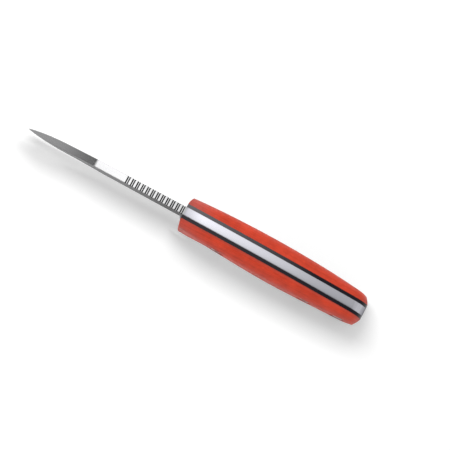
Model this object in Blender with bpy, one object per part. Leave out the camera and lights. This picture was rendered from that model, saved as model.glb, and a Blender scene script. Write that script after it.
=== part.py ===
"""Full-tang hunting knife: blade, two liners, two contoured scales, sleeves, screws and a lanyard tube.

The knife is drawn in millimetres with the front of the handle at x = 0, the tip towards -X, the spine of
the blade at z = 0 and +Z towards the spine. Each mesh is then moved so that the origin is the middle of
the bottom of the box round the knife, and is stored in metres.
"""

import bmesh
import bpy
import numpy as np

MM = 0.001

# Blade, seen from the side
BLADE_LENGTH = 91.0
BLADE_HEIGHT = 26.0
HEEL_HEIGHT = 27.5
CREASE_AHEAD = 51.5
TIP_DROP = 7.6
DROP_START = 0.75
TIP_HEIGHT = 0.4
BELLY_RUN = 50.0
BELLY_POWER = 2.6
HEEL_AHEAD = 0.4
CHOIL_AHEAD = 3.0
CHOIL_RADIUS = 1.5

# Blade, across its thickness
STOCK = 4.5
HEEL_THICKNESS = 4.35
CREASE_THICKNESS = 3.95
SHOULDER_THICKNESS = 0.7
LEAST_THICKNESS = 0.2
EDGE_THICKNESS = 0.1
BEVEL_HEIGHT = 1.1
BEVEL_SHARE = 0.3
TIP_TAPER = 17.0
PLUNGE_RUN = 1.6
STEP_AHEAD = 0.1
STEP_RUN = 0.2

# Thumb grooves on the spine
GROOVES = 12
GROOVE_PITCH = 2.88
GROOVE_WIDTH = 1.5
GROOVE_DEPTH = 0.9
GROOVE_AHEAD = 1.5

# Handle, seen from the side
HANDLE_LENGTH = 107.0
BUTT_FALL = 12.6
FALL_POWER = 1.9
GUARD_BACK = 3.0
GUARD_HEIGHT = 26.5
FINGER_BACK = 19.0
FINGER_HEIGHT = 20.0
PALM_BACK = 55.0
PALM_HEIGHT = 24.5
WAIST_TO_BUTT = 22.0
WAIST_HEIGHT = 21.5
BUTT_HEIGHT = 22.0
BUTT_SPINE_RADIUS = 8.0
BUTT_BELLY_RADIUS = 9.0

# Handle, across its thickness
HALF_WIDTH = 10.35
BARREL_BACK = 52.0
FRONT_SAG = 1.9
BUTT_SAG = 2.2
LINER = 1.7
BOND = 0.05
SPINE_ROUND_SHARE = 0.85
SPINE_ROUND_DEPTH = 5.0
BELLY_ROUND_SHARE = 0.75
BELLY_ROUND_DEPTH = 9.0
FRONT_CROWN = 1.3
BUTT_CROWN = 2.1
CROWN_FADE = 10.0

# Screws and sleeves
FRONT_BOLT_BACK = 24.0
REAR_BOLT_TO_BUTT = 31.0
SLEEVE_RADIUS = 3.0
SLEEVE_BORE_RADIUS = 1.75
SLEEVE_SHORT = 0.2
SHANK_RADIUS = 1.5
SHANK_LENGTH = 5.0
HEAD_RADIUS = 3.8
HEAD_HEIGHT = 2.2
HEAD_CHAMFER = 0.35
HEAD_RECESS = 0.3
SOCKET_RADIUS = 1.75
SOCKET_DEPTH = 1.4
SEAT_GAP = 0.05
FIT_GAP = 0.2

# Lanyard tube
LANYARD_TO_BUTT = 11.5
TUBE_RADIUS = 4.0
TUBE_BORE_RADIUS = 3.2
TUBE_RECESS = 0.1

ROUND_SIDES = 32
THROUGH = 40.0
SHARP_ANGLE = np.radians(30)

INNER_FACE = STOCK / 2 + BOND + LINER + BOND
REAR_BOLT_BACK = HANDLE_LENGTH - REAR_BOLT_TO_BUTT
LANYARD_BACK = HANDLE_LENGTH - LANYARD_TO_BUTT


def eased(t):
    """0 to 1 with level ends."""
    t = np.clip(t, 0.0, 1.0)
    return t * t * (3.0 - 2.0 * t)


def through(x, stations, values):
    """A curve that is level at each station and eased between them."""
    y = np.full_like(x, values[0])
    for start, end, low, high in zip(stations, stations[1:], values, values[1:]):
        y = y + (high - low) * eased((x - start) / (end - start))
    return y


def corner(x, radius):
    """How far a round corner at the butt cuts in."""
    into = np.clip(x - (HANDLE_LENGTH - radius), 0.0, radius)
    return radius - np.sqrt(radius**2 - into**2)


def fall(x):
    """The line of the spine: level on the blade, falling towards the butt."""
    return -BUTT_FALL * np.clip(x / HANDLE_LENGTH, 0.0, None) ** FALL_POWER


def spine(x):
    """Height of the spine: it drops to the tip ahead of the crease and rounds over at the butt."""
    drop = np.clip((-CREASE_AHEAD - x) / (BLADE_LENGTH - CREASE_AHEAD), 0.0, 1.0)
    drop = TIP_DROP * (DROP_START * drop + (1.0 - DROP_START) * drop**2)
    return fall(x) - drop - corner(x, BUTT_SPINE_RADIUS)


def edge(x):
    """Height of the cutting edge: the belly sweeps up to the tip."""
    along = np.clip((x + BLADE_LENGTH) / BELLY_RUN, 0.0, 1.0)
    rise = BLADE_HEIGHT - TIP_DROP - TIP_HEIGHT
    heel = (x + BLADE_LENGTH - BELLY_RUN) / (BLADE_LENGTH - BELLY_RUN - HEEL_AHEAD)
    heel = (BLADE_HEIGHT - HEEL_HEIGHT) * eased(heel)
    return -BLADE_HEIGHT + rise * (1.0 - along) ** BELLY_POWER + heel


def grip(x):
    """Height of the underside of the heel and the handle."""
    stations = (
        -HEEL_AHEAD / 2,
        GUARD_BACK,
        FINGER_BACK,
        PALM_BACK,
        HANDLE_LENGTH - WAIST_TO_BUTT,
        HANDLE_LENGTH - BUTT_BELLY_RADIUS / 2,
    )
    depths = (HEEL_HEIGHT, GUARD_HEIGHT, FINGER_HEIGHT, PALM_HEIGHT, WAIST_HEIGHT, BUTT_HEIGHT)
    return fall(x) - through(x, stations, depths) + corner(x, BUTT_BELLY_RADIUS)


def underside(x):
    """Edge ahead of the heel, grip behind it."""
    return np.where(x < -HEEL_AHEAD, edge(x), grip(x))


def middle(x):
    """Half way between spine and underside of the handle."""
    x = np.asarray(x, float)
    return float(spine(x) + underside(x)) / 2


def half_width(x):
    """Half the width of the barrel-shaped handle, which narrows from its widest place to both ends."""
    ahead = np.clip((BARREL_BACK - x) / BARREL_BACK, 0.0, None)
    behind = np.clip((x - BARREL_BACK) / (HANDLE_LENGTH - BARREL_BACK), 0.0, None)
    return HALF_WIDTH - FRONT_SAG * ahead**2 - BUTT_SAG * behind**2


def face_near(x, radius):
    """The side of the scale at the lower rim of a round piece that comes out of it."""
    return min(half_width(x - radius), half_width(x + radius))


def handle_stations():
    """Sections from the front of the handle to the butt, close together where the corners are round."""
    corners = max(BUTT_SPINE_RADIUS, BUTT_BELLY_RADIUS)
    front = CROWN_FADE * np.array([0.0, 0.07, 0.16, 0.3, 0.5, 0.75])
    long = np.linspace(CROWN_FADE, HANDLE_LENGTH - corners, 20)
    butt = HANDLE_LENGTH - corners * (1.0 - np.sin(np.linspace(0.0, np.pi / 2, 10)))
    return np.unique(np.round(np.concatenate([front, long, butt]), 4))


def blade_stations():
    """Sections of the blade from the tip to the start of the tang, with one on the crease."""
    point = BLADE_LENGTH - CREASE_AHEAD
    tip = -BLADE_LENGTH + point * np.linspace(0.0, 1.0, 20) ** 1.5
    body = np.linspace(-CREASE_AHEAD, -HEEL_AHEAD - PLUNGE_RUN, 8)
    plunge = np.linspace(-HEEL_AHEAD - PLUNGE_RUN, -HEEL_AHEAD, 10)
    neck = np.linspace(-HEEL_AHEAD + 0.01, -STEP_AHEAD - STEP_RUN, 3)
    step = np.array([-STEP_AHEAD])
    return np.unique(np.round(np.concatenate([tip, body, plunge, neck, step]), 4))


def spine_half(x):
    """Half the thickness of the spine: a slight taper, then a round one over the point."""
    back = np.clip((x + CREASE_AHEAD) / (CREASE_AHEAD - HEEL_AHEAD), 0.0, 1.0)
    thick = CREASE_THICKNESS + (HEEL_THICKNESS - CREASE_THICKNESS) * back
    left = 1.0 - np.clip((x + BLADE_LENGTH) / TIP_TAPER, 0.0, 1.0)
    return np.maximum(thick * (1.0 - left**2) ** 0.75, LEAST_THICKNESS) / 2


def blade_rings():
    """Sections of blade and tang: flat sides on the tang, a flat grind with an edge bevel ahead of it.

    The grind loses the same thickness for each millimetre below the spine, so its sides are planes.
    """
    x = np.concatenate([blade_stations(), handle_stations()])[:, None]
    height = spine(x) - underside(x)
    bevel = np.minimum(BEVEL_HEIGHT / height, BEVEL_SHARE)
    grind = np.linspace(0.0, 1.0, 8)[None, :]
    slope = (HEEL_THICKNESS - SHOULDER_THICKNESS) / 2 / (HEEL_HEIGHT - BEVEL_HEIGHT)
    ground = spine_half(x) - slope * height * (1.0 - bevel) * grind
    ground = np.maximum(ground, LEAST_THICKNESS / 2)
    ground = np.concatenate([ground, np.full_like(x, EDGE_THICKNESS / 2)], axis=1)
    share = np.concatenate([(1.0 - bevel) * grind, np.ones_like(x)], axis=1)
    plunge = eased((-HEEL_AHEAD - x) / PLUNGE_RUN)
    half = HEEL_THICKNESS / 2 + (ground - HEEL_THICKNESS / 2) * plunge
    tang = np.clip((x + STEP_AHEAD + STEP_RUN) / STEP_RUN, 0.0, 1.0)
    half = half + (STOCK / 2 - half) * tang
    side = np.stack([x + 0.0 * half, half, spine(x) - height * share], axis=-1)
    other = side[:, ::-1] * (1.0, -1.0, 1.0)
    return np.concatenate([side, other], axis=1)


def liner_rings(side):
    """Sections of a liner: a flat sheet with the outline of the tang."""
    x = handle_stations()
    near = np.full_like(x, STOCK / 2 + BOND)
    far = near + LINER
    corners = ((near, spine(x)), (far, spine(x)), (far, underside(x)), (near, underside(x)))
    return np.stack([np.stack([x, side * y, z], axis=-1) for y, z in corners], axis=1)


def scale_rings(side):
    """Sections of a scale: flat inside, elliptic shoulders at spine and belly, crowned front and butt."""
    x = handle_stations()[:, None]
    wide = half_width(x)
    turn = np.linspace(0.0, np.pi / 2, 8)[None, :]
    upper = SPINE_ROUND_SHARE * (wide - INNER_FACE)
    lower = BELLY_ROUND_SHARE * (wide - INNER_FACE)
    inner = np.full_like(x, INNER_FACE)
    spine_y = np.concatenate([inner, wide - upper + upper * np.sin(turn)], axis=1)
    belly_y = np.concatenate([inner, wide - lower + lower * np.sin(turn)], axis=1)
    height = spine(x) - underside(x)
    room = np.minimum(1.0, 0.8 * height / (SPINE_ROUND_DEPTH + BELLY_ROUND_DEPTH))
    bend = np.concatenate([0.0 * inner, 1.0 - np.cos(turn) + 0.0 * x], axis=1)
    spine_z = spine(x) - SPINE_ROUND_DEPTH * room * bend
    belly_z = underside(x) + BELLY_ROUND_DEPTH * room * bend
    y = np.concatenate([spine_y, belly_y[:, ::-1]], axis=1)
    z = np.concatenate([spine_z, belly_z[:, ::-1]], axis=1)
    out = (y - INNER_FACE) / (wide - INNER_FACE)
    front = np.clip(1.0 - x / CROWN_FADE, 0.0, 1.0) ** 2
    butt = np.clip(1.0 - (HANDLE_LENGTH - x) / CROWN_FADE, 0.0, 1.0) ** 2
    along = x + FRONT_CROWN * front * out**2 - BUTT_CROWN * butt * out**2
    return np.stack([along, side * y, z], axis=-1)


def round_rings(x, z, profile, sides=ROUND_SIDES):
    """Rings round a line across the knife, for each (y, radius) of the profile."""
    angle = (np.arange(sides) + 0.5) * 2.0 * np.pi / sides
    rings = [(x + r * np.cos(angle), y + 0.0 * angle, z + r * np.sin(angle)) for y, r in profile]
    return np.moveaxis(np.array(rings), 1, -1)


def bar(x, z, start, end, radius, sides=ROUND_SIDES):
    """A round bar across the knife."""
    return round_rings(x, z, ((start, radius), (end, radius)), sides)


def groove_rings(x):
    """One thumb groove: straight walls and a round floor, cut across the spine."""
    half = GROOVE_WIDTH / 2
    angle = np.linspace(np.pi, 2.0 * np.pi, 9)
    along = np.concatenate([[-half], half * np.cos(angle), [half]])
    height = np.concatenate([[half], half * np.sin(angle), [half]]) + half - GROOVE_DEPTH
    rings = [(x + along, y + 0.0 * along, height) for y in (-STOCK, STOCK)]
    return np.moveaxis(np.array(rings), 1, -1)


def skin(rings, first, closed):
    """Faces that join rings of points. A closed skin joins the last ring to the first, an open one is capped."""
    count, around = rings.shape[:2]
    index = first + np.arange(count * around).reshape(count, around)
    here = index if closed else index[:-1]
    there = np.roll(index, -1, axis=0) if closed else index[1:]
    quads = [here, np.roll(here, -1, axis=1), np.roll(there, -1, axis=1), there]
    faces = np.stack(quads, axis=-1).reshape(-1, 4).tolist()
    if closed:
        return faces
    half = around // 2
    for ring in (index[0], index[-1]):
        back = ring[::-1]
        cap = np.stack([ring[: half - 1], ring[1:half], back[1:half], back[: half - 1]], axis=-1)
        faces += cap.tolist()
    return faces


X_MOVE = (BLADE_LENGTH - HANDLE_LENGTH) / 2
Z_MOVE = -float(underside(np.concatenate([blade_stations(), handle_stations()])).min())


def mesh_object(name, lofts, closed=False):
    """An object from one or more sets of rings, moved to the frame of the part and in metres."""
    points = []
    faces = []
    for rings in lofts:
        faces += skin(rings, len(points), closed)
        points += ((rings.reshape(-1, 3) + (X_MOVE, 0.0, Z_MOVE)) * MM).tolist()
    mesh = bpy.data.meshes.new(name)
    mesh.from_pydata(points, [], faces)
    shape = bmesh.new()
    shape.from_mesh(mesh)
    bmesh.ops.recalc_face_normals(shape, faces=shape.faces)
    shape.to_mesh(mesh)
    shape.free()
    mesh.shade_smooth()
    mesh.set_sharp_from_angle(angle=SHARP_ANGLE)
    thing = bpy.data.objects.new(name, mesh)
    bpy.context.scene.collection.objects.link(thing)
    return thing


def material(name, colour, metallic, roughness):
    """A plain Principled material."""
    made = bpy.data.materials.new(name)
    made.use_nodes = True
    shader = made.node_tree.nodes["Principled BSDF"]
    shader.inputs["Base Color"].default_value = (*colour, 1.0)
    shader.inputs["Metallic"].default_value = metallic
    shader.inputs["Roughness"].default_value = roughness
    return made


def piece(name, rings, look, closed=False):
    """A piece of the knife, held by the empty that stands for the whole of it."""
    thing = mesh_object(name, [rings], closed)
    thing.data.materials.append(look)
    thing.parent = knife
    return thing


def cutter(name, lofts):
    """A helper that is subtracted and never shown."""
    thing = mesh_object(name, lofts)
    thing.hide_render = True
    thing.display_type = "WIRE"
    thing.parent = knife
    return thing


def cut(thing, tool):
    """Subtracts a helper from a piece."""
    made = thing.modifiers.new(tool.name, "BOOLEAN")
    made.operation = "DIFFERENCE"
    made.solver = "EXACT"
    made.object = tool


for old in list(bpy.data.objects):
    bpy.data.objects.remove(old, do_unlink=True)

knife = bpy.data.objects.new("knife", None)
bpy.context.scene.collection.objects.link(knife)

steel = material("blade_steel", (0.60, 0.60, 0.62), 1.0, 0.32)
black = material("liner_sheet", (0.02, 0.02, 0.022), 0.0, 0.55)
red = material("scale_laminate", (0.62, 0.065, 0.03), 0.0, 0.5)
hardware = material("screw_steel", (0.52, 0.52, 0.54), 1.0, 0.35)

# Helpers that are cut away
first_groove = -GROOVE_AHEAD - (GROOVES - 1) * GROOVE_PITCH
grooves = [groove_rings(first_groove + GROOVE_PITCH * i) for i in range(GROOVES)]
groove_cutter = cutter("groove_cutter", grooves)
choil = bar(-CHOIL_AHEAD, -HEEL_HEIGHT, -THROUGH, THROUGH, CHOIL_RADIUS)
choil_cutter = cutter("choil_cutter", [choil])
bolts = (("front", FRONT_BOLT_BACK), ("rear", REAR_BOLT_BACK))
holes = [bar(x, middle(x), -THROUGH, THROUGH, SLEEVE_RADIUS + FIT_GAP) for _, x in bolts]
holes.append(bar(LANYARD_BACK, middle(LANYARD_BACK), -THROUGH, THROUGH, TUBE_RADIUS + FIT_GAP))
hole_cutter = cutter("hole_cutter", holes)

# Blade and tang
blade = piece("blade", blade_rings(), steel)
cut(blade, groove_cutter)
cut(blade, choil_cutter)
cut(blade, hole_cutter)

# Liners, scales and screws, left at -Y and right at +Y
for hand, side in (("left", -1.0), ("right", 1.0)):
    liner = piece(f"{hand}_liner", liner_rings(side), black)
    cut(liner, hole_cutter)
    scale = piece(f"{hand}_scale", scale_rings(side), red)
    cut(scale, hole_cutter)
    seats = []
    for place, x in bolts:
        top = face_near(x, HEAD_RADIUS) - HEAD_RECESS
        under = top - HEAD_HEIGHT
        seats.append(bar(x, middle(x), side * (under - SEAT_GAP), side * THROUGH, HEAD_RADIUS + FIT_GAP))
        profile = (
            (side * (under - SHANK_LENGTH), SHANK_RADIUS - HEAD_CHAMFER),
            (side * (under - SHANK_LENGTH + HEAD_CHAMFER), SHANK_RADIUS),
            (side * under, SHANK_RADIUS),
            (side * under, HEAD_RADIUS),
            (side * (top - HEAD_CHAMFER), HEAD_RADIUS),
            (side * top, HEAD_RADIUS - HEAD_CHAMFER),
        )
        screw = piece(f"{place}_screw_{hand}", round_rings(x, middle(x), profile), hardware)
        socket = bar(x, middle(x), side * (top - SOCKET_DEPTH), side * THROUGH, SOCKET_RADIUS, 6)
        cut(screw, cutter(f"{place}_socket_{hand}", [socket]))
    cut(scale, cutter(f"{hand}_seats", seats))

# Sleeves and lanyard tube
for place, x in bolts:
    end = face_near(x, HEAD_RADIUS) - HEAD_RECESS - HEAD_HEIGHT - SLEEVE_SHORT
    wall = ((-end, SLEEVE_RADIUS), (end, SLEEVE_RADIUS), (end, SLEEVE_BORE_RADIUS), (-end, SLEEVE_BORE_RADIUS))
    piece(f"{place}_sleeve", round_rings(x, middle(x), wall), hardware, closed=True)
end = face_near(LANYARD_BACK, TUBE_RADIUS) - TUBE_RECESS
wall = ((-end, TUBE_RADIUS), (end, TUBE_RADIUS), (end, TUBE_BORE_RADIUS), (-end, TUBE_BORE_RADIUS))
piece("lanyard_tube", round_rings(LANYARD_BACK, middle(LANYARD_BACK), wall), hardware, closed=True)
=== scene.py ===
"""Looks of the full-tang hunting knife: satin steel, black liners, red laminate scales, on a white table.

Lengths are in millimetres in the knife's own drawing: x runs from the front of the handle (0) towards the
butt, y across the thickness, z up from the level part of the spine (0). `placed` moves points to the frame.
"""

import bmesh
import bpy
import numpy as np
from mathutils import Matrix, Vector


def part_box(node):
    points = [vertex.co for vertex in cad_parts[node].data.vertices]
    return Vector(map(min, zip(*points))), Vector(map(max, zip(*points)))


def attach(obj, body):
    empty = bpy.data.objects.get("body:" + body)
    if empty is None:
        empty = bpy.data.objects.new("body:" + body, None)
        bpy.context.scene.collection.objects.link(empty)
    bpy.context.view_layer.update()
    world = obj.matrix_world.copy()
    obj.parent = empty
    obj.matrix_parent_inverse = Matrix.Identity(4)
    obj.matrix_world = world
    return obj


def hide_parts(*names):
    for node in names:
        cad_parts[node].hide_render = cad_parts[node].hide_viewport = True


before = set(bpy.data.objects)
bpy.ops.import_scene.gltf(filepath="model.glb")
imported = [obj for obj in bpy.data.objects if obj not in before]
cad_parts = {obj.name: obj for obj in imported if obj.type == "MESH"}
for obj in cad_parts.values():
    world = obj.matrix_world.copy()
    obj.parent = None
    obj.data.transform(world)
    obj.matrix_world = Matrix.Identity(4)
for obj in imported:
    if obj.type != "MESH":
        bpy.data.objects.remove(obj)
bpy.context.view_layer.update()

MM = 0.001


def box_mm(node):
    """Lowest and highest corner of a CAD node in millimetres."""
    low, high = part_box(node)
    return np.array(low) / MM, np.array(high) / MM


# Sizes that the frame gives
blade_low, blade_high = box_mm("blade")
liner_low, liner_high = box_mm("right_liner")
scale_low, scale_high = box_mm("right_scale")
FRONT = liner_low[0]
SPINE = blade_high[2]
BLADE_LENGTH = FRONT - blade_low[0]
HANDLE_LENGTH = blade_high[0] - FRONT
STOCK = blade_high[1] - blade_low[1]
LINER_NEAR = liner_low[1]
LINER_FAR = liner_high[1]
SCALE_NEAR = scale_low[1]
HALF_WIDTH = scale_high[1]

# Outline of the blade
BLADE_HEIGHT = 26.0
HEEL_HEIGHT = 27.5
CREASE_AHEAD = 51.9
TIP_DROP = 7.6
DROP_START = 0.75
TIP_HEIGHT = 0.4
BELLY_RUN = 50.0
BELLY_POWER = 2.6
HEEL_AHEAD = 0.4
CHOIL_AHEAD = 3.0
CHOIL_RADIUS = 1.5

# Section of the blade
HEEL_THICKNESS = 4.35
CREASE_THICKNESS = 3.99
SHOULDER_THICKNESS = 0.7
LEAST_THICKNESS = 0.2
EDGE_THICKNESS = 0.1
BEVEL_HEIGHT = 1.1
BEVEL_SHARE = 0.3
TIP_TAPER = 22.0
TIP_TAPER_POWER = 0.75
PLUNGE_RUN = 1.6
STEP_AHEAD = 0.1
STEP_RUN = 0.2
SPINE_EASE = 0.10
SPINE_EASE_MOST = 0.3
TANG_SHARPER = 0.7
POINT_THINNING = 0.28
POINT_BACK = 45.0
POINT_RUN = 25.0

# Thumb grooves
GROOVES = 12
GROOVE_PITCH = 2.88
GROOVE_WIDTH = 1.75
GROOVE_WALL = 0.65
GROOVE_DEPTH = 0.9
GROOVE_AHEAD = 1.24

# Outline of the handle
BUTT_FALL = 12.6
FALL_POWER = 1.9
GUARD_BACK = 3.0
GUARD_HEIGHT = 26.5
FINGER_BACK = 19.0
FINGER_HEIGHT = 20.0
PALM_BACK = 55.0
PALM_HEIGHT = 24.5
WAIST_TO_BUTT = 22.0
WAIST_HEIGHT = 21.5
BUTT_HEIGHT = 22.0
BUTT_SPINE_RADIUS = 8.0
BUTT_BELLY_RADIUS = 9.0

# Section of the handle
BARREL_BACK = 52.0
FRONT_SAG = 1.9
BUTT_SAG = 2.2
FULLER_PLACES = (0.0, BARREL_BACK, 85.0, HANDLE_LENGTH)
LEFT_FULLER = (0.05, 0.0, 0.06, 0.15)
RIGHT_FULLER = (0.18, 0.18, 0.16, 0.0)
SPINE_ROUND_SHARE = 0.85
SPINE_ROUND_DEPTH = 5.0
BELLY_ROUND_SHARE = 0.75
BELLY_ROUND_DEPTH = 9.0
ROUND_ROOM = 0.8
FRONT_CROWN = 1.3
BUTT_CROWN = 2.4
CROWN_FADE = 10.0
FRONT_POWER = 1.8
BUTT_POWER = 1.3
RIM_ROUND = 0.3
SPINE_CROWN = 0.0103
SPINE_CROWN_RUN = 1.0

# Screws and tube
HEAD_CHAMFER = 0.35
HEAD_CHAMFER_BEND = 0.3
HEAD_LIFT = 0.25
NECK_LIFT = 0.2
NECK_SLIMMER = 2.3
SHANK_SLIMMER = 2.5
SOCKET_RADIUS = 1.75
SOCKET_SIDES = 6
SOCKET_DEPTH = 1.4
FIT_GAP = 0.2
RIM_CHAMFER = 0.3
BORE_WALL = 0.8
TUBE_RIM = 0.25
THROUGH = 2.0 * HALF_WIDTH

# Points of the meshes: sections along the knife, and points round a section
TIP_SECTIONS = 90
TIP_CROWDING = 1.6
PLAIN_SECTIONS = 40
WALL_SECTIONS = 9
WALL_BEYOND = np.array((0.1, 0.25))
PLUNGE_SECTIONS = 30
CHOIL_SECTIONS = 15
NECK_SECTIONS = 4
HAIR = 0.01
FRONT_SECTIONS = 24
FRONT_CROWDING = 1.5
LONG_SECTIONS = 80
BUTT_SECTIONS = 36
RIM_SECTIONS = 9
SPINE_POINTS = 6
CORNER_POINTS = 5
GRIND_POINTS = 25
GRIND_STARTS = (0.006, 0.04)
BEVEL_POINTS = 5
LEVEL_POINTS = 3
SHOULDER_POINTS = 25
SIDE_POINTS = 10
ROUND_SIDES = 96
SHARP_ANGLE = 30.0

# Painted shade on the steel, 0 to 1: groove walls, darker reflections ahead of the handle, on the tang, at
# the butt
GROOVE_SHADE_RISE = 5.0
FLOOR_RISE = 6.0
FLOOR_LIGHTER = 0.8
BLADE_SHADE = 0.30
BLADE_SHADE_AHEAD = 36.0
TANG_SHADE = 0.36
TANG_SHADE_BACK = 11.0
FRONT_SHADE = 0.17
FRONT_SHADE_BACK = 2.0
BUTT_SHADE = 0.44
BUTT_SHADE_START = 4.0
BUTT_SHADE_RUN = 1.8

# Where the ground sides start, by the lean of the normal, and where a painted reflection turns them paler
# towards the point
GROUND_START = 0.75
GROUND_RUN = 0.2
PALE_AHEAD = 9.0
PALE_RUN = 36.0

# Painted light on the handle: strength and length of a painted highlight on a liner, strengths of painted
# highlights at front and butt of a scale, and a painted shade along a scale's joint with its liner
LINER_HIGHLIGHT = {"left": (0.18, 110.0), "right": (1.1, 75.0)}
SCALE_HIGHLIGHT = {"left": (0.4, 0.6), "right": (0.9, 0.6)}
FRONT_HIGHLIGHT_RUN = 20.0
BUTT_HIGHLIGHT_RUN = 5.0
JOINT_SHADE = {"left": 0.45, "right": 0.0}
JOINT_SHADE_WIDE = 1.8
FACING_UP = 0.3

# Colours, mostly as a darker and a lighter one that a grain mixes
SPINE_GREYS = (0.61, 0.67)
# Greys of the ground sides at heel and point; the change between them is a painted reflection
HEEL_GREYS = (0.20, 0.34)
POINT_GREYS = (0.35, 0.58)
SCREW_GREYS = (0.38, 0.62)
# Near-black of the painted shade on the steel
SHADE_GREY = 0.025
EDGE_TINT = 0.35
STEEL_BLUE = 1.01
TANG_BLUE = 1.09
REDS = ((0.48, 0.036, 0.013, 1.0), (0.75, 0.063, 0.024, 1.0))
# Reds of the painted highlight at the scales' ends
HIGHLIGHT_REDS = ((0.40, 0.075, 0.060, 1.0), (0.58, 0.11, 0.09, 1.0))
# Red of the painted shade along a scale's joint
JOINT_SHADE_RED = (0.22, 0.050, 0.040, 1.0)
SHEEN_RED = (1.0, 0.15, 0.10, 1.0)
BLACKS = ((0.004, 0.003, 0.006, 1.0), (0.010, 0.008, 0.014, 1.0))
# Greys of the painted highlight on the liners
HIGHLIGHT_BLACKS = ((0.09, 0.085, 0.09, 1.0), (0.14, 0.13, 0.14, 1.0))
TABLE_GREY = (0.82, 0.82, 0.82, 1.0)
WHITE = (1.0, 1.0, 1.0, 1.0)
BLACK = (0.0, 0.0, 0.0, 1.0)

# Light: table, key lamp and sky
TABLE_LIFT = 0.28
KEY_PLACE = (-0.58, 0.36, 1.36)
KEY_LONG = 1.0
KEY_WIDE = 0.50
KEY_WATTS = 13.8
TOP_FILL = 0.08
SIDE_FILL = 0.47
NEAR_FILL = 0.22
BUTT_FILL = 0.24
# Brightness overhead, by how far a direction leans to the tip (-) or to the butt (+)
OVERHEAD = (
    (-0.60, 0.42),
    (-0.55, 0.34),
    (-0.47, 0.46),
    (-0.44, 0.40),
    (-0.41, 0.10),
    (-0.35, 0.08),
    (-0.27, 0.00),
    (-0.19, 0.02),
    (-0.11, 1.78),
    (-0.05, 1.84),
    (0.00, 1.68),
    (0.03, 1.56),
    (0.12, 1.24),
    (0.16, 1.17),
    (0.225, 1.00),
    (0.284, 0.87),
    (0.342, 0.65),
    (0.40, 0.50),
    (0.58, 0.44),
    (0.70, 0.26),
    (0.80, 0.00),
)
OVERHEAD_MOST = 2.0
# Where parts of the sky begin and are full, by a direction's lean along one axis
FIELD_NEAR = (-0.17, 0.12)
FIELD_FAR = (0.80, 0.20)
FIELD_LOW = (0.2, 0.5)
AROUND_HIGH = (0.85, 0.65)
NEAR_SIDE = (-0.2, -0.6)
BUTT_SIDE = (0.7, 0.9)

# Stage: table, card below the edge and flags beside handle and tip, with heights above the table
TABLE_SIDE = 8.0
CARD_SECTIONS = 60
CARD_GAP = 0.3
CARD_FOOT = 0.7
CARD_RISE = 0.35
CARD_LEAN = 0.17
CARD_SWEEP = KEY_PLACE[0] / KEY_PLACE[2]
FLAG_GAP = 0.3
FLAG_FOOT = 0.5
HANDLE_FLAG_SECTIONS = 60
HANDLE_FLAG_PLACES = (-4.5, 60.0, 90.0, 98.0, HANDLE_LENGTH - BUTT_CROWN)
HANDLE_FLAG_HEIGHTS = (36.5, 35.5, 38.5, 36.0, 25.0)
BUTT_FLAG_SECTIONS = 41
BUTT_FLAG_END = 10.0
TIP_FLAG_SECTIONS = 30
TIP_FLAG_PLACES = (-101.0, -90.0, -72.0)
TIP_FLAG_HEIGHTS = (36.5, 36.5, 29.0)
TIP_FLAG_FOOT = 13.0

# Camera, from points measured on the photograph, which is 450 pixels square
PHOTO_PIXELS = 450
CAMERA_TARGET = (13.605, 3.712, 30.0)
CAMERA_AZIMUTH = 1.618
CAMERA_ELEVATION = 82.468
CAMERA_ROLL = 26.734
CAMERA_DISTANCE = 900.0
FOCAL_PIXELS = 1756.85


def eased(t):
    """0 to 1 with level ends: 3 t squared less 2 t cubed."""
    t = np.clip(t, 0.0, 1.0)
    return t * t * (3.0 - 2.0 * t)


def through(x, stations, values):
    """A curve that is level at each station and eased from one to the next."""
    y = np.full_like(x, values[0])
    for start, end, low, high in zip(stations, stations[1:], values, values[1:]):
        y = y + (high - low) * eased((x - start) / (end - start))
    return y


def corner(x, radius):
    """How far a quarter circle at the butt cuts in at x."""
    into = np.clip(x - (HANDLE_LENGTH - radius), 0.0, radius)
    return radius - np.sqrt(radius**2 - into**2)


def fall(x):
    """Line of the handle's spine: a power of the distance from the front."""
    return -BUTT_FALL * np.clip(x / HANDLE_LENGTH, 0.0, None) ** FALL_POWER


def spine_line(x):
    """Height of the spine: level, a bent drop from the crease to the tip and a round corner at the butt."""
    drop = np.clip((-CREASE_AHEAD - x) / (BLADE_LENGTH - CREASE_AHEAD), 0.0, 1.0)
    drop = TIP_DROP * (DROP_START * drop + (1.0 - DROP_START) * drop**2)
    return fall(x) - drop - corner(x, BUTT_SPINE_RADIUS)


def edge_line(x):
    """Height of the cutting edge: almost straight from the heel, then a power curve up to the tip."""
    along = np.clip((x + BLADE_LENGTH) / BELLY_RUN, 0.0, 1.0)
    rise = BLADE_HEIGHT - TIP_DROP - TIP_HEIGHT
    heel = (x + BLADE_LENGTH - BELLY_RUN) / (BLADE_LENGTH - BELLY_RUN - HEEL_AHEAD)
    heel = (BLADE_HEIGHT - HEEL_HEIGHT) * eased(heel)
    return -BLADE_HEIGHT + rise * (1.0 - along) ** BELLY_POWER + heel


def grip_line(x):
    """Height of the handle's underside: guard, finger groove, palm, waist and butt, eased into each other."""
    stations = (
        -HEEL_AHEAD / 2,
        GUARD_BACK,
        FINGER_BACK,
        PALM_BACK,
        HANDLE_LENGTH - WAIST_TO_BUTT,
        HANDLE_LENGTH - BUTT_BELLY_RADIUS / 2,
    )
    depths = (HEEL_HEIGHT, GUARD_HEIGHT, FINGER_HEIGHT, PALM_HEIGHT, WAIST_HEIGHT, BUTT_HEIGHT)
    return fall(x) - through(x, stations, depths) + corner(x, BUTT_BELLY_RADIUS)


def underside(x):
    """Edge ahead of the heel and grip behind it."""
    return np.where(x < -HEEL_AHEAD, edge_line(x), grip_line(x))


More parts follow.
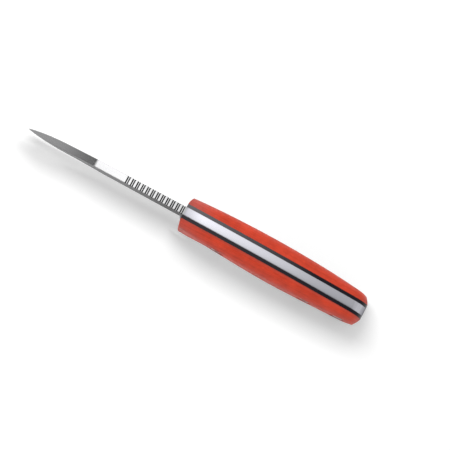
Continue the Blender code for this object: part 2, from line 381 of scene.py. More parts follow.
def groove_distance(x):
    """How far x is from the middle of the nearest thumb groove."""
    first = -GROOVE_AHEAD - (GROOVES - 1) * GROOVE_PITCH
    nearest = np.clip(np.round((x - first) / GROOVE_PITCH), 0, GROOVES - 1)
    return np.abs(x - first - nearest * GROOVE_PITCH)


def groove_cut(x):
    """Depth of the thumb grooves at x: a flat floor and walls that rise as an eased step."""
    return GROOVE_DEPTH * eased((GROOVE_WIDTH / 2 - groove_distance(x)) / GROOVE_WALL)


def choil_cut(x):
    """Height of the sharpening notch at x: a semicircle ahead of the heel."""
    off = x + CHOIL_AHEAD
    return np.sqrt(np.clip(CHOIL_RADIUS**2 - off**2, 0.0, None))


def half_width(x):
    """Half the width of the barrel-shaped handle: a parabola to the front and another to the butt."""
    ahead = np.clip((BARREL_BACK - x) / BARREL_BACK, 0.0, None)
    behind = np.clip((x - BARREL_BACK) / (HANDLE_LENGTH - BARREL_BACK), 0.0, None)
    return HALF_WIDTH - FRONT_SAG * ahead**2 - BUTT_SAG * behind**2


def scale_face(x, side):
    """How far a scale's side stands from the middle: the barrel's half width and what a scale has more."""
    return half_width(x) + np.interp(x, FULLER_PLACES, RIGHT_FULLER if side > 0.0 else LEFT_FULLER)


def spine_crown(x, y):
    """How far the handle's spine falls away beside its middle: by the square of y, from the tang's front."""
    return SPINE_CROWN * y**2 * np.clip((x + STEP_AHEAD) / SPINE_CROWN_RUN, 0.0, 1.0)


def rim_inset(x):
    """How far a quarter circle draws a scale's section in near the front and the butt."""
    into = np.clip(RIM_ROUND - np.minimum(x, HANDLE_LENGTH - x), 0.0, RIM_ROUND)
    return RIM_ROUND - np.sqrt(RIM_ROUND**2 - into**2)


def spine_half(x):
    """Half the thickness of the spine: a straight taper to the crease and a round one over the point."""
    back = np.clip((x + CREASE_AHEAD) / (CREASE_AHEAD - HEEL_AHEAD), 0.0, 1.0)
    thick = CREASE_THICKNESS + (HEEL_THICKNESS - CREASE_THICKNESS) * back
    left = 1.0 - np.clip((x + BLADE_LENGTH) / TIP_TAPER, 0.0, 1.0)
    return np.maximum(thick * (1.0 - left**2) ** TIP_TAPER_POWER, LEAST_THICKNESS) / 2


def placed(points):
    """Points of the drawing in the frame, in metres."""
    return (np.asarray(points) + (FRONT, 0.0, SPINE)) * MM


def unique_stations(*groups):
    """Sorted sections without doubles."""
    return np.unique(np.round(np.concatenate(groups), 4))


def blade_stations():
    """Sections of the blade, dense at the tip, over the grooves' walls, round the choil and at the plunge."""
    half_turn = np.linspace(-np.pi / 2, np.pi / 2, CHOIL_SECTIONS)
    wall = np.concatenate([-WALL_BEYOND[::-1], np.linspace(0.0, 1.0, WALL_SECTIONS), 1.0 + WALL_BEYOND])
    wall = GROOVE_WIDTH / 2 - GROOVE_WALL * wall
    point = np.linspace(0.0, 1.0, TIP_SECTIONS) ** TIP_CROWDING
    tip = -BLADE_LENGTH + (BLADE_LENGTH - CREASE_AHEAD) * point
    plain = np.linspace(-CREASE_AHEAD, -HEEL_AHEAD - PLUNGE_RUN, PLAIN_SECTIONS)
    centres = -GROOVE_AHEAD - GROOVE_PITCH * np.arange(GROOVES)
    grooves = (centres[:, None] + np.concatenate([-wall, wall])[None, :]).ravel()
    plunge = np.linspace(-HEEL_AHEAD - PLUNGE_RUN, -HEEL_AHEAD, PLUNGE_SECTIONS)
    choil = -CHOIL_AHEAD + CHOIL_RADIUS * np.sin(half_turn)
    neck = np.linspace(-HEEL_AHEAD + HAIR, -STEP_AHEAD - STEP_RUN, NECK_SECTIONS)
    return unique_stations(tip, plain, grooves, plunge, choil, neck, [-STEP_AHEAD])


def handle_stations():
    """Sections of the handle, dense over the crowned front, the round butt and the rims of the scales."""
    corners = max(BUTT_SPINE_RADIUS, BUTT_BELLY_RADIUS)
    front = CROWN_FADE * np.linspace(0.0, 1.0, FRONT_SECTIONS) ** FRONT_CROWDING
    long = np.linspace(CROWN_FADE, HANDLE_LENGTH - corners, LONG_SECTIONS)
    butt = HANDLE_LENGTH - corners * (1.0 - np.sin(np.linspace(0.0, np.pi / 2, BUTT_SECTIONS)))
    rim = RIM_ROUND * (1.0 - np.cos(np.linspace(0.0, np.pi / 2, RIM_SECTIONS)))
    return unique_stations(front, long, butt, rim, HANDLE_LENGTH - rim)


def blade_rings():
    """Closed sections of blade and tang.

    From the middle of the spine a section goes out, over a small round corner, down the flat grind, which
    loses the same thickness for each millimetre of depth, and a little more towards the point, down the edge
    bevel and back up the other side. Over the plunge the grind is eased into the full thickness of the tang.
    """
    x = np.concatenate([blade_stations(), handle_stations()])[:, None]
    top = spine_line(x) - groove_cut(x)
    bottom = underside(x) + choil_cut(x)
    height = spine_line(x) - underside(x)
    plunge = eased((-HEEL_AHEAD - x) / PLUNGE_RUN)
    tang = np.clip((x + STEP_AHEAD + STEP_RUN) / STEP_RUN, 0.0, 1.0)
    slope = (HEEL_THICKNESS - SHOULDER_THICKNESS) / 2 / (HEEL_HEIGHT - BEVEL_HEIGHT)
    slope = slope * (1.0 + POINT_THINNING * eased((-POINT_BACK - x) / POINT_RUN))
    bevel = np.minimum(BEVEL_HEIGHT, BEVEL_SHARE * height)

    def half_at(z):
        """Half the thickness at height z."""
        depth = spine_line(x) - z
        ground = np.maximum(spine_half(x) - slope * depth, LEAST_THICKNESS / 2)
        into = np.clip((depth - height + bevel) / bevel, 0.0, 1.0)
        ground = ground + (EDGE_THICKNESS / 2 - ground) * into
        half = HEEL_THICKNESS / 2 + (ground - HEEL_THICKNESS / 2) * plunge
        return half + (STOCK / 2 - half) * tang

    ease = np.minimum(SPINE_EASE * (1.0 - TANG_SHARPER * tang), SPINE_EASE_MOST * spine_half(x))
    flat = (half_at(top) - ease) * np.linspace(0.0, 1.0, SPINE_POINTS)[None, :-1]
    turn = np.linspace(0.0, np.pi / 2, CORNER_POINTS)[None, :]
    rim = top - spine_crown(x, half_at(top) - ease)
    corner_z = rim - ease * (1.0 - np.cos(turn))
    corner_y = half_at(corner_z) - ease * (1.0 - np.sin(turn))
    shoulder = np.maximum(spine_line(x) - height + bevel, bottom)
    start = rim - ease
    first, second = GRIND_STARTS
    down = np.concatenate([[first], np.linspace(second, 1.0, GRIND_POINTS)])[None, :]
    side_z = start + (shoulder - start) * down
    bevel_z = shoulder + (bottom - shoulder) * np.linspace(0.0, 1.0, BEVEL_POINTS)[None, 1:]
    z = np.concatenate([top - spine_crown(x, flat), corner_z, side_z, bevel_z, bottom], axis=1)
    y = np.concatenate([flat, corner_y, half_at(side_z), half_at(bevel_z), 0.0 * x], axis=1)
    right = np.stack([x + 0.0 * y, y, z], axis=-1)
    left = right[:, -2:0:-1] * (1.0, -1.0, 1.0)
    return np.concatenate([right, left], axis=1)


def liner_rings(side):
    """Closed four-sided sections of a liner, flush with the tang and with its crowned spine."""
    x = handle_stations()
    near = np.full_like(x, LINER_NEAR)
    far = np.full_like(x, LINER_FAR)
    tops = [(y, spine_line(x) - spine_crown(x, y)) for y in (near, far)]
    corners = (*tops, (far, underside(x)), (near, underside(x)))
    return np.stack([np.stack([x, side * y, z], axis=-1) for y, z in corners], axis=1)


def scale_rings(side):
    """Closed sections of a scale: flat inside, a quarter ellipse at spine and belly, a straight side between.

    Towards the front and the butt each point moves inwards along x by a power of its share of the thickness,
    which crowns both ends, and the section shrinks by a quarter circle, which rounds their rims.
    """
    x = handle_stations()[:, None]
    inset = rim_inset(x)
    wide = scale_face(x, side) - inset
    turn = np.linspace(0.0, np.pi / 2, SHOULDER_POINTS - LEVEL_POINTS)[None, :]
    flat = np.linspace(0.0, 1.0, LEVEL_POINTS + 1)[None, :-1]

    def shoulder(share):
        """Distances from the middle over one shoulder, which takes a share of the thickness."""
        reach = share * (wide - SCALE_NEAR)
        level = SCALE_NEAR + (wide - reach - SCALE_NEAR) * flat
        return np.concatenate([level, wide - reach + reach * np.sin(turn)], axis=1)

    spine_y = shoulder(SPINE_ROUND_SHARE)
    belly_y = shoulder(BELLY_ROUND_SHARE)
    height = spine_line(x) - underside(x)
    room = np.minimum(1.0, ROUND_ROOM * height / (SPINE_ROUND_DEPTH + BELLY_ROUND_DEPTH))
    bend = room * np.concatenate([0.0 * flat, 1.0 - np.cos(turn)], axis=1)
    spine_z = spine_line(x) - inset - spine_crown(x, spine_y) - SPINE_ROUND_DEPTH * bend
    belly_z = underside(x) + inset + BELLY_ROUND_DEPTH * bend
    share = np.linspace(0.0, 1.0, SIDE_POINTS + 2)[None, 1:-1]
    side_z = spine_z[:, -1:] + (belly_z[:, -1:] - spine_z[:, -1:]) * share
    y = np.concatenate([spine_y, wide + 0.0 * side_z, belly_y[:, ::-1]], axis=1)
    z = np.concatenate([spine_z, side_z, belly_z[:, ::-1]], axis=1)
    out = (y - SCALE_NEAR) / (scale_face(x, side) - SCALE_NEAR)
    front = np.clip(1.0 - x / CROWN_FADE, 0.0, 1.0) ** 2
    butt = np.clip(1.0 - (HANDLE_LENGTH - x) / CROWN_FADE, 0.0, 1.0) ** 2
    along = x + FRONT_CROWN * front * out**FRONT_POWER - BUTT_CROWN * butt * out**BUTT_POWER
    return np.stack([along, side * y, z], axis=-1)


def scale_end(ring):
    """Faces that close a scale's end: strips from spine to belly, and one face for the points of the side."""
    back = ring[::-1]
    last = SHOULDER_POINTS - 2
    strips = np.stack([ring[:last], ring[1 : last + 1], back[1 : last + 1], back[:last]], axis=-1)
    return strips.tolist() + [ring[last : len(ring) - last].tolist()]


def turned_rings(x, z, profile, sides=ROUND_SIDES):
    """Circles round a line across the knife, one for each (y, radius) of the profile."""
    angle = (np.arange(sides) + 0.5) * 2.0 * np.pi / sides
    y, radius = np.array(profile, float).T[:, :, None]
    return np.stack([x + radius * np.cos(angle), y + 0.0 * angle, z + radius * np.sin(angle)], axis=-1)


def one_face(ring):
    """Closes an end with a single face."""
    return [ring.tolist()]


def skin(name, rings, closed=False, end=one_face):
    """A mesh that joins rings of points. Closed joins the last to the first, else both ends get faces."""
    count, around = rings.shape[:2]
    index = np.arange(count * around).reshape(count, around)
    here = index if closed else index[:-1]
    there = np.roll(index, -1, axis=0) if closed else index[1:]
    quads = np.stack([here, np.roll(here, -1, axis=1), np.roll(there, -1, axis=1), there], axis=-1)
    faces = quads.reshape(-1, 4).tolist()
    if not closed:
        faces += end(index[0]) + end(index[-1])
    mesh = bpy.data.meshes.new(name)
    mesh.from_pydata(placed(rings.reshape(-1, 3)), [], faces)
    shape = bmesh.new()
    shape.from_mesh(mesh)
    bmesh.ops.recalc_face_normals(shape, faces=shape.faces)
    shape.to_mesh(mesh)
    shape.free()
    thing = bpy.data.objects.new(name, mesh)
    bpy.context.scene.collection.objects.link(thing)
    return thing


def bored(thing, tools):
    """The piece with each tool cut out of it. The tools are removed and the piece keeps a plain mesh."""
    for tool in tools:
        cut = thing.modifiers.new(tool.name, "BOOLEAN")
        cut.operation = "DIFFERENCE"
        cut.solver = "EXACT"
        cut.object = tool
    graph = bpy.context.evaluated_depsgraph_get()
    made = bpy.data.meshes.new_from_object(thing.evaluated_get(graph))
    thing.modifiers.clear()
    old = thing.data
    thing.data = made
    bpy.data.meshes.remove(old)
    for tool in tools:
        bpy.data.objects.remove(tool, do_unlink=True)
    return thing


def finished(thing, node, look):
    """Shades a piece smooth between its sharp edges, and lets it stand for its CAD node."""
    thing.data.materials.clear()
    thing.data.materials.append(look)
    thing.data.shade_smooth()
    thing.data.set_sharp_from_angle(angle=np.radians(SHARP_ANGLE))
    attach(thing, "root")
    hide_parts(node)
    return thing


def drawn(thing):
    """A piece's vertices, in the drawing, and their normals."""
    mesh = thing.data
    points = np.empty(3 * len(mesh.vertices), np.float32)
    normals = np.empty_like(points)
    mesh.vertices.foreach_get("co", points)
    mesh.vertex_normals.foreach_get("vector", normals)
    return points.reshape(-1, 3) / MM - (FRONT, 0.0, SPINE), normals.reshape(-1, 3)


def marked(thing, name, values):
    """Stores one number for each vertex, which a material reads."""
    attribute = thing.data.attributes.new(name, "FLOAT", "POINT")
    attribute.data.foreach_set("value", np.asarray(values, np.float32))


def set_or_wire(tree, socket, value):
    """Sets a socket to a constant, or wires it to another node's output."""
    if isinstance(value, bpy.types.NodeSocket):
        tree.links.new(value, socket)
    else:
        socket.default_value = value


def adder(tree):
    """A function that adds nodes to a tree."""

    def add(kind, values=None, **settings):
        """A node with its settings, and with its sockets set or wired."""
        node = tree.nodes.new("ShaderNode" + kind)
        for key, value in settings.items():
            setattr(node, key, value)
        for key, value in (values or {}).items():
            set_or_wire(tree, node.inputs[key], value)
        return node

    return add


def looks(name):
    """A node material, a function that adds nodes to it and one that sets or wires its Principled shader."""
    made = bpy.data.materials.new(name)
    made.use_nodes = True
    tree = made.node_tree
    shader = tree.nodes["Principled BSDF"]

    def wire(socket, value):
        """Sets or wires a socket of the shader."""
        set_or_wire(tree, shader.inputs[socket], value)

    return made, adder(tree), wire


def grain_of(add, place, scale, detail=3.0):
    """Noise on Object coordinates, stretched by a different scale along each axis."""
    stretched = add("Mapping", {"Vector": place, "Scale": scale}).outputs["Vector"]
    values = {"Vector": stretched, "Scale": 1.0, "Detail": detail, "Roughness": 0.6}
    return add("TexNoise", values).outputs["Fac"]


def mark_of(add, name):
    """What the piece stores under a name for each vertex."""
    return add("Attribute", attribute_name=name).outputs["Fac"]


def spread(add, share, low, high):
    """A number that goes from low to high as a share goes from 0 to 1."""
    return add("MapRange", {"Value": share, "To Min": low, "To Max": high}).outputs["Result"]


def bumped(add, height, strength, distance):
    """A normal that follows a grain."""
    return add("Bump", {"Height": height, "Strength": strength, "Distance": distance}).outputs["Normal"]


def mixed(add, share, first, second):
    """A colour or number between two, by a share from 0 to 1."""
    return add("MixRGB", {"Fac": share, "Color1": first, "Color2": second}).outputs["Color"]


def grey(level, blue=STEEL_BLUE):
    """A colour socket's value for steel of one lightness."""
    return (level, level, level * blue, 1.0)


def greys(add, share, levels, blue=STEEL_BLUE):
    """Steel between two lightnesses."""
    return mixed(add, share, grey(levels[0], blue), grey(levels[1], blue))


def blade_steel():
    """Blade and tang: the spine polished lengthwise, the sides belt-ground from spine to edge, with painted
    shade.
    """
    made, add, wire = looks("blade_steel_ground")
    place = add("TexCoord").outputs["Object"]
    ground = mark_of(add, "ground")
    lengthwise = grain_of(add, place, (50.0, 2600.0, 2600.0))
    belt = grain_of(add, place, (2200.0, 300.0, 45.0), 5.0)
    cloud = grain_of(add, place, (60.0, 60.0, 60.0))
    line = mixed(add, ground, lengthwise, belt)
    line = mixed(add, 0.25, line, cloud)
    tang = greys(add, line, SPINE_GREYS, TANG_BLUE)
    spine = mixed(add, mark_of(add, "tang"), greys(add, line, SPINE_GREYS), tang)
    # Painted reflection: the sides turn from the heel greys to paler point greys
    point = greys(add, line, POINT_GREYS)
    side = mixed(add, mark_of(add, "ahead"), greys(add, line, HEEL_GREYS), point)
    steel = mixed(add, ground, spine, side)
    # Painted shade: groove walls, and darker reflections on spine, tang and butt
    wire("Base Color", mixed(add, mark_of(add, "painted_shade"), steel, grey(SHADE_GREY)))
    rough = mixed(add, ground, grey(0.12, 1.0), grey(0.32, 1.0))
    rougher = {0: line, 1: 0.12, 2: rough}
    wire("Roughness", add("Math", rougher, operation="MULTIPLY_ADD").outputs[0])
    wire("Metallic", 1.0)
    wire("Specular Tint", grey(EDGE_TINT))
    wire("Normal", bumped(add, line, 0.02, 0.00002))
    return made


def screw_steel():
    """Screws, sleeves and tube: fine lathe marks and a little blotchy tone."""
    made, add, wire = looks("screw_steel_turned")
    place = add("TexCoord").outputs["Object"]
    mark = grain_of(add, place, (1500.0, 200.0, 1500.0), 4.0)
    cloud = grain_of(add, place, (260.0, 260.0, 260.0))
    both = mixed(add, 0.4, mark, cloud)
    wire("Base Color", greys(add, both, SCREW_GREYS))
    wire("Roughness", spread(add, both, 0.22, 0.42))
    wire("Metallic", 1.0)
    wire("Normal", bumped(add, mark, 0.1, 0.00002))
    return made


def red_laminate():
    """Cloth laminate: thin layers, a fine weave and a satin skin, with painted highlights at the ends and a
    painted shade at the joint.
    """
    made, add, wire = looks("red_laminate")
    place = add("TexCoord").outputs["Object"]
    layer = grain_of(add, place, (14.0, 1500.0, 14.0))
    warp = grain_of(add, place, (260.0, 1200.0, 2600.0), 2.0)
    weft = grain_of(add, place, (2600.0, 1200.0, 260.0), 2.0)
    mottle = grain_of(add, place, (140.0, 140.0, 140.0), 4.0)
    cloth = mixed(add, 0.5, warp, weft)
    both = mixed(add, 0.45, layer, cloth)
    both = mixed(add, 0.35, both, mottle)
    share = add("MapRange", {"Value": both, "From Min": 0.39, "From Max": 0.61}).outputs["Result"]
    red = mixed(add, share, *REDS)
    # Painted highlight at the ends, then painted shade along the joint
    red = mixed(add, mark_of(add, "painted_highlight"), red, mixed(add, share, *HIGHLIGHT_REDS))
    wire("Base Color", mixed(add, mark_of(add, "painted_joint_shade"), red, JOINT_SHADE_RED))
    wire("Roughness", spread(add, cloth, 0.42, 0.58))
    wire("Specular IOR Level", 0.34)
    wire("Sheen Weight", 0.15)
    wire("Sheen Roughness", 0.5)
    wire("Sheen Tint", SHEEN_RED)
    wire("Normal", bumped(add, cloth, 0.12, 0.00005))
    return made


def black_sheet():
    """Black liner sheet: fine scratches along the handle, and a painted highlight in grey along its up-facing
    front.
    """
    made, add, wire = looks("black_sheet")
    place = add("TexCoord").outputs["Object"]
    scratch = grain_of(add, place, (60.0, 2500.0, 2500.0))
    highlight = mixed(add, scratch, *HIGHLIGHT_BLACKS)
    wire("Base Color", mixed(add, mark_of(add, "painted_highlight"), mixed(add, scratch, *BLACKS), highlight))
    wire("Roughness", spread(add, scratch, 0.12, 0.24))
    wire("Specular IOR Level", 0.20)
    wire("Normal", bumped(add, scratch, 0.08, 0.00003))
    return made


def table_white():
    """White table: matt, and lifted to white only where it is looked at, so that it keeps the shadow."""
    made, add, wire = looks("table_white")
    path = add("LightPath").outputs
    seen = {0: path["Is Camera Ray"], 1: path["Is Glossy Ray"]}
    seen = add("Math", seen, operation="MAXIMUM").outputs[0]
    seen = add("Math", {0: seen, 1: path["Is Transmission Ray"]}, operation="MAXIMUM").outputs[0]
    lift = add("Math", {0: seen, 1: TABLE_LIFT}, operation="MULTIPLY").outputs[0]
    wire("Base Color", TABLE_GREY)
    wire("Roughness", 1.0)
    wire("Specular IOR Level", 0.0)
    wire("Emission Color", WHITE)
    wire("Emission Strength", lift)
    return made


def one_way():
    """Cloth of a flag: it stops light that meets the front of a face and lets through what meets the back."""
    made, add, wire = looks("one_way_cloth")
    back = add("NewGeometry").outputs["Backfacing"]
    wire("Base Color", BLACK)
    wire("Alpha", add("Math", {0: 1.0, 1: back}, operation="SUBTRACT").outputs[0])
    return made


def shadow_strip(name, points, look):
    """A strip of the stage that shadow rays alone meet, through pairs of points in the drawing."""
    index = np.arange(2 * len(points)).reshape(-1, 2)
    faces = np.concatenate([index[:-1], index[1:, ::-1]], axis=1).tolist()
    mesh = bpy.data.meshes.new(name)
    mesh.from_pydata(placed(points.reshape(-1, 3)), [], faces)
    mesh.materials.append(look)
    strip = bpy.data.objects.new(name, mesh)
    strip.visible_camera = False
    strip.visible_diffuse = False
    strip.visible_glossy = False
    strip.visible_transmission = False
    bpy.context.scene.collection.objects.link(strip)


def upright(x, y, top, foot):
    """Pairs of points for a strip that stands on a line, with heights above the table."""
    return np.stack([np.stack([x, y, z - SPINE + 0.0 * x], axis=-1) for z in (top, foot)], axis=1)


# Blade and tang, bored for the lanyard tube
tube_low, tube_high = box_mm("lanyard_tube")
tube_x, _, tube_z = (tube_low + tube_high) / 2 - (FRONT, 0.0, SPINE)
tube_radius = (tube_high[0] - tube_low[0]) / 2
tube_end = tube_high[1]


def tube_hole():
    """A bar that cuts the hole of the lanyard tube."""
    radius = tube_radius + FIT_GAP
    return skin("tube_hole", turned_rings(tube_x, tube_z, ((-THROUGH, radius), (THROUGH, radius))))


blade_look = blade_steel()
screw_look = screw_steel()
liner_look = black_sheet()
scale_look = red_laminate()

blade = bored(skin("blade_and_tang", blade_rings()), [tube_hole()])
finished(blade, "blade", blade_look)
points, normals = drawn(blade)
along = points[:, 0]
facing_up = np.clip(normals[:, 2], 0.0, 1.0)
# Painted shade: dark groove walls with lighter floors, and darker reflections on up-facing steel ahead of the
# handle, on the tang's front and at the butt
up_wall = np.clip((GROOVE_WIDTH / 2 - groove_distance(along)) / GROOVE_WALL, 0.0, 1.0)
on_top = points[:, 2] > -GROOVE_DEPTH - 2.0 * SPINE_EASE
groove = eased(GROOVE_SHADE_RISE * up_wall) - FLOOR_LIGHTER * eased(FLOOR_RISE * (up_wall - 1.0) + 1.0)
blade_shade = BLADE_SHADE * np.clip(1.0 + along / BLADE_SHADE_AHEAD, 0.0, 1.0)
tang_shade = TANG_SHADE * eased(1.0 - along / TANG_SHADE_BACK) + FRONT_SHADE * eased(1.0 - along / FRONT_SHADE_BACK)
steel_shade = np.where(along < -STEP_AHEAD, blade_shade, tang_shade) * facing_up
steel_shade = steel_shade + BUTT_SHADE * eased((along - HANDLE_LENGTH + BUTT_SHADE_START) / BUTT_SHADE_RUN)
marked(blade, "ground", eased((np.abs(normals[:, 1]) - GROUND_START) / GROUND_RUN))
marked(blade, "tang", eased(along))
# Painted reflection: share of the paler point greys on the sides
marked(blade, "ahead", eased((-along - PALE_AHEAD) / PALE_RUN))
marked(blade, "painted_shade", 1.0 - (1.0 - np.where(on_top, groove, 0.0)) * (1.0 - steel_shade))

# Liners, scales and screws on both sides
for hand, side in (("left", -1.0), ("right", 1.0)):
    liner = bored(skin(f"{hand}_black_liner", liner_rings(side)), [tube_hole()])
    finished(liner, f"{hand}_liner", liner_look)
    points, normals = drawn(liner)
    # Painted highlight on the liner's up-facing faces, fading from the front
    highlight, highlight_to = LINER_HIGHLIGHT[hand]
    highlight = highlight * np.clip(1.0 - points[:, 0] / highlight_to, 0.0, 1.0)
    marked(liner, "painted_highlight", highlight * (normals[:, 2] > FACING_UP))
    tools = [tube_hole()]
    for place in ("front", "rear"):
        node = f"{place}_screw_{hand}"
        low, high = box_mm(node)
        x, _, z = (low + high) / 2 - (FRONT, 0.0, SPINE)
        head = (high[0] - low[0]) / 2
        top = max(abs(low[1]), abs(high[1]))
        end = min(abs(low[1]), abs(high[1]))
        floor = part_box(f"{place}_sleeve")[1][1] / MM
        face = scale_face(x, side)
        bend = HEAD_CHAMFER_BEND * HEAD_CHAMFER
        seat = (
            (side * floor, head + FIT_GAP),
            (side * (face - RIM_CHAMFER), head + FIT_GAP),
            (side * (face + RIM_CHAMFER), head + FIT_GAP + 2.0 * RIM_CHAMFER),
        )
        tools.append(skin(f"{node}_seat", turned_rings(x, z, seat)))
        profile = (
            (side * end, head - SHANK_SLIMMER),
            (side * (floor + NECK_LIFT), head - NECK_SLIMMER),
            (side * (floor + HEAD_LIFT), head),
            (side * (top - HEAD_CHAMFER), head),
            (side * (top - bend), head - bend),
            (side * top, head - HEAD_CHAMFER),
        )
        screw = skin(f"{node}_head", turned_rings(x, z, profile))
        socket = ((side * (top - SOCKET_DEPTH), SOCKET_RADIUS), (side * THROUGH, SOCKET_RADIUS))
        bored(screw, [skin(f"{node}_socket", turned_rings(x, z, socket, SOCKET_SIDES))])
        finished(screw, node, screw_look)
    scale = bored(skin(f"{hand}_red_scale", scale_rings(side), end=scale_end), tools)
    finished(scale, f"{hand}_scale", scale_look)
    points, normals = drawn(scale)
    # Painted highlights at the front and the butt of the scale
    front_highlight, butt_highlight = SCALE_HIGHLIGHT[hand]
    front_highlight = front_highlight * eased(1.0 - points[:, 0] / FRONT_HIGHLIGHT_RUN)
    butt_highlight = butt_highlight * eased(1.0 - (HANDLE_LENGTH - points[:, 0]) / BUTT_HIGHLIGHT_RUN)
    marked(scale, "painted_highlight", front_highlight + butt_highlight)
    # Painted shade beside the joint with the liner, on the up-facing faces of the left scale only
    from_joint = (np.abs(points[:, 1]) - SCALE_NEAR) / JOINT_SHADE_WIDE
    marked(scale, "painted_joint_shade", JOINT_SHADE[hand] * eased(1.0 - from_joint) * (normals[:, 2] > FACING_UP))
    # The white table takes no red from the scales, as in the photograph
    scale.visible_diffuse = False

# Lanyard tube: a wall with eased rims
bore = tube_radius - BORE_WALL
wall = (
    (-tube_end + TUBE_RIM, tube_radius),
    (tube_end - TUBE_RIM, tube_radius),
    (tube_end, tube_radius - TUBE_RIM),
    (tube_end, bore + TUBE_RIM),
    (tube_end - TUBE_RIM, bore),
    (-tube_end + TUBE_RIM, bore),
    (-tube_end, bore + TUBE_RIM),
    (-tube_end, tube_radius - TUBE_RIM),
)
tube = skin("lanyard_tube_turned", turned_rings(tube_x, tube_z, wall), closed=True)
finished(tube, "lanyard_tube", screw_look)

# Sleeves stay as the CAD made them, inside the handle
for node in ("front_sleeve", "rear_sleeve"):
    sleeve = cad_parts[node]
    sleeve.data.materials.clear()
    sleeve.data.materials.append(screw_look)

# Table
table_mesh = bpy.data.meshes.new("table")
half = TABLE_SIDE / 2
corners = [(-half, -half, 0), (half, -half, 0), (half, half, 0), (-half, half, 0)]
table_mesh.from_pydata(corners, [], [(0, 1, 2, 3)])
table = bpy.data.objects.new("table", table_mesh)
table.data.materials.append(table_white())
bpy.context.scene.collection.objects.link(table)

# Card below the cutting edge, met by shadow rays alone, so that the blade's shadow starts at the blade and at
# the tip, as it does in the photograph. It leans back under the blade and along the key's light, and its foot
# rises with the belly.
card_x = np.linspace(-BLADE_LENGTH, -HEEL_AHEAD, CARD_SECTIONS)[:, None]
card_top = edge_line(card_x) + SPINE - CARD_GAP
card_foot = CARD_FOOT + CARD_RISE * (edge_line(card_x) + BLADE_HEIGHT)
card_high = np.concatenate([card_top, card_foot], axis=1)
card_along = card_x + CARD_SWEEP * card_high
card_across = CARD_LEAN * (card_top - card_high)
card_points = np.stack([card_along, card_across, card_high - SPINE], axis=-1)
shadow_strip("shadow_card", card_points, liner_look)

# Flags beside handle and tip, on the side away from the key. They widen the shadow there as in the
# photograph, and they are clear from the side of the knife, so that they take no light from it.
flag_cloth = one_way()
flag_x = np.linspace(HANDLE_FLAG_PLACES[0], HANDLE_FLAG_PLACES[-1], HANDLE_FLAG_SECTIONS)
flag_top = np.interp(flag_x, HANDLE_FLAG_PLACES, HANDLE_FLAG_HEIGHTS)
beside_handle = upright(flag_x, -half_width(flag_x) - FLAG_GAP, flag_top, FLAG_FOOT)
round_butt = np.linspace(-1.0, 1.0, BUTT_FLAG_SECTIONS)[1:]
butt_x = HANDLE_LENGTH + FLAG_GAP - BUTT_CROWN * np.abs(round_butt) ** BUTT_POWER
butt_y = (half_width(HANDLE_LENGTH) + FLAG_GAP) * round_butt
butt_top = np.interp(round_butt, (-1.0, 1.0), (HANDLE_FLAG_HEIGHTS[-1], BUTT_FLAG_END))
behind_butt = upright(butt_x, butt_y, butt_top, FLAG_FOOT)
shadow_strip("handle_flag", np.concatenate([beside_handle, behind_butt]), flag_cloth)
tip_x = np.linspace(TIP_FLAG_PLACES[0], TIP_FLAG_PLACES[-1], TIP_FLAG_SECTIONS)
tip_top = np.interp(tip_x, TIP_FLAG_PLACES, TIP_FLAG_HEIGHTS)
beside_tip = upright(tip_x, np.full_like(tip_x, -STOCK / 2), tip_top, TIP_FLAG_FOOT)
shadow_strip("tip_flag", beside_tip, flag_cloth)

# World: grey all round, brighter towards the near side and the butt, and a bright field overhead
world = bpy.data.worlds.new("studio")
bpy.context.scene.world = world
world.use_nodes = True
background = world.node_tree.nodes["Background"]
sky = adder(world.node_tree)


def sky_step(value, start, end):
    """Eased from 0 at start to 1 at end."""
    values = {"Value": value, "From Min": start, "From Max": end}
    return sky("MapRange", values, interpolation_type="SMOOTHSTEP").outputs["Result"]


def sky_times(a, b):
    """Product of two values."""
    return sky("Math", {0: a, 1: b}, operation="MULTIPLY").outputs[0]


def sky_sum(a, b, c):
    """Product of two values and a third added to it."""
    return sky("Math", {0: a, 1: b, 2: c}, operation="MULTIPLY_ADD").outputs[0]


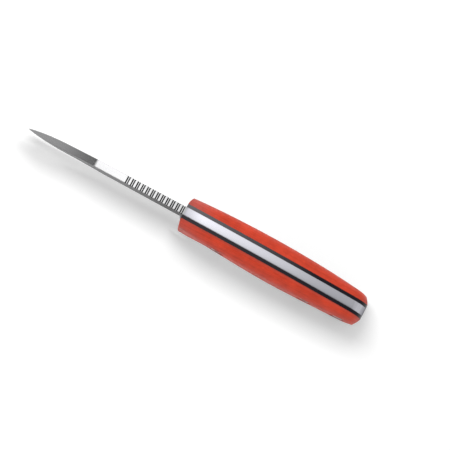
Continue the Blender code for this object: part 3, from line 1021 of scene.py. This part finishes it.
direction = sky("SeparateXYZ", {0: sky("TexCoord").outputs["Generated"]}).outputs
lean = {"Value": direction["X"], "From Min": -1.0, "From Max": 1.0}
overhead = sky("ValToRGB", {"Fac": sky("MapRange", lean).outputs["Result"]})
stops = overhead.color_ramp.elements
for slot, (place, level) in enumerate(OVERHEAD):
    stop = stops[slot] if slot < len(stops) else stops.new(1.0)
    stop.position = (place + 1.0) / 2.0
    stop.color = grey(level / OVERHEAD_MOST, 1.0)
field = sky_times(overhead.outputs["Color"], sky_step(direction["Y"], *FIELD_NEAR))
field = sky_times(field, sky_step(direction["Y"], *FIELD_FAR))
field = sky_times(field, sky_step(direction["Z"], *FIELD_LOW))
around = sky_step(direction["Z"], *AROUND_HIGH)
fill = sky_times(sky_step(direction["Y"], *NEAR_SIDE), NEAR_FILL)
fill = sky_sum(sky_step(direction["X"], *BUTT_SIDE), BUTT_FILL, fill)
fill = sky("Math", {0: fill, 1: SIDE_FILL - TOP_FILL}, operation="ADD").outputs[0]
bright = sky_sum(field, OVERHEAD_MOST, sky_sum(around, fill, TOP_FILL))
set_or_wire(world.node_tree, background.inputs["Strength"], bright)
set_or_wire(world.node_tree, background.inputs["Color"], WHITE)

# Key lamp, high on the right-hand side of the knife
key = bpy.data.lights.new("key", "AREA")
key.energy = KEY_WATTS
key.shape = "RECTANGLE"
key.size = KEY_LONG
key.size_y = KEY_WIDE
key_lamp = bpy.data.objects.new("key", key)
away = Vector(KEY_PLACE).normalized()
wide = away.cross(Vector((1.0, 0.0, 0.0))).normalized()
turned = Matrix((wide.cross(away), wide, away)).transposed().to_4x4()
key_lamp.matrix_world = Matrix.Translation(KEY_PLACE) @ turned
key_lamp.visible_glossy = False
bpy.context.scene.collection.objects.link(key_lamp)

# Camera
azimuth, elevation, roll = np.radians((CAMERA_AZIMUTH, CAMERA_ELEVATION, CAMERA_ROLL))
flat = Vector((-np.sin(azimuth), np.cos(azimuth), 0.0))
ahead = flat * np.cos(elevation) - Vector((0.0, 0.0, np.sin(elevation)))
level = ahead.cross(Vector((0.0, 0.0, 1.0))).normalized()
above = level.cross(ahead)
across = level * np.cos(roll) + above * np.sin(roll)
upward = above * np.cos(roll) - level * np.sin(roll)
camera = bpy.data.cameras.new("camera")
camera.lens = FOCAL_PIXELS * camera.sensor_width / PHOTO_PIXELS
eye = bpy.data.objects.new("camera", camera)
turned = Matrix((across, upward, -ahead)).transposed().to_4x4()
eye.matrix_world = Matrix.Translation((Vector(CAMERA_TARGET) - ahead * CAMERA_DISTANCE) * MM) @ turned
bpy.context.scene.collection.objects.link(eye)
bpy.context.scene.camera = eye
bpy.context.scene.view_settings.view_transform = "Standard"
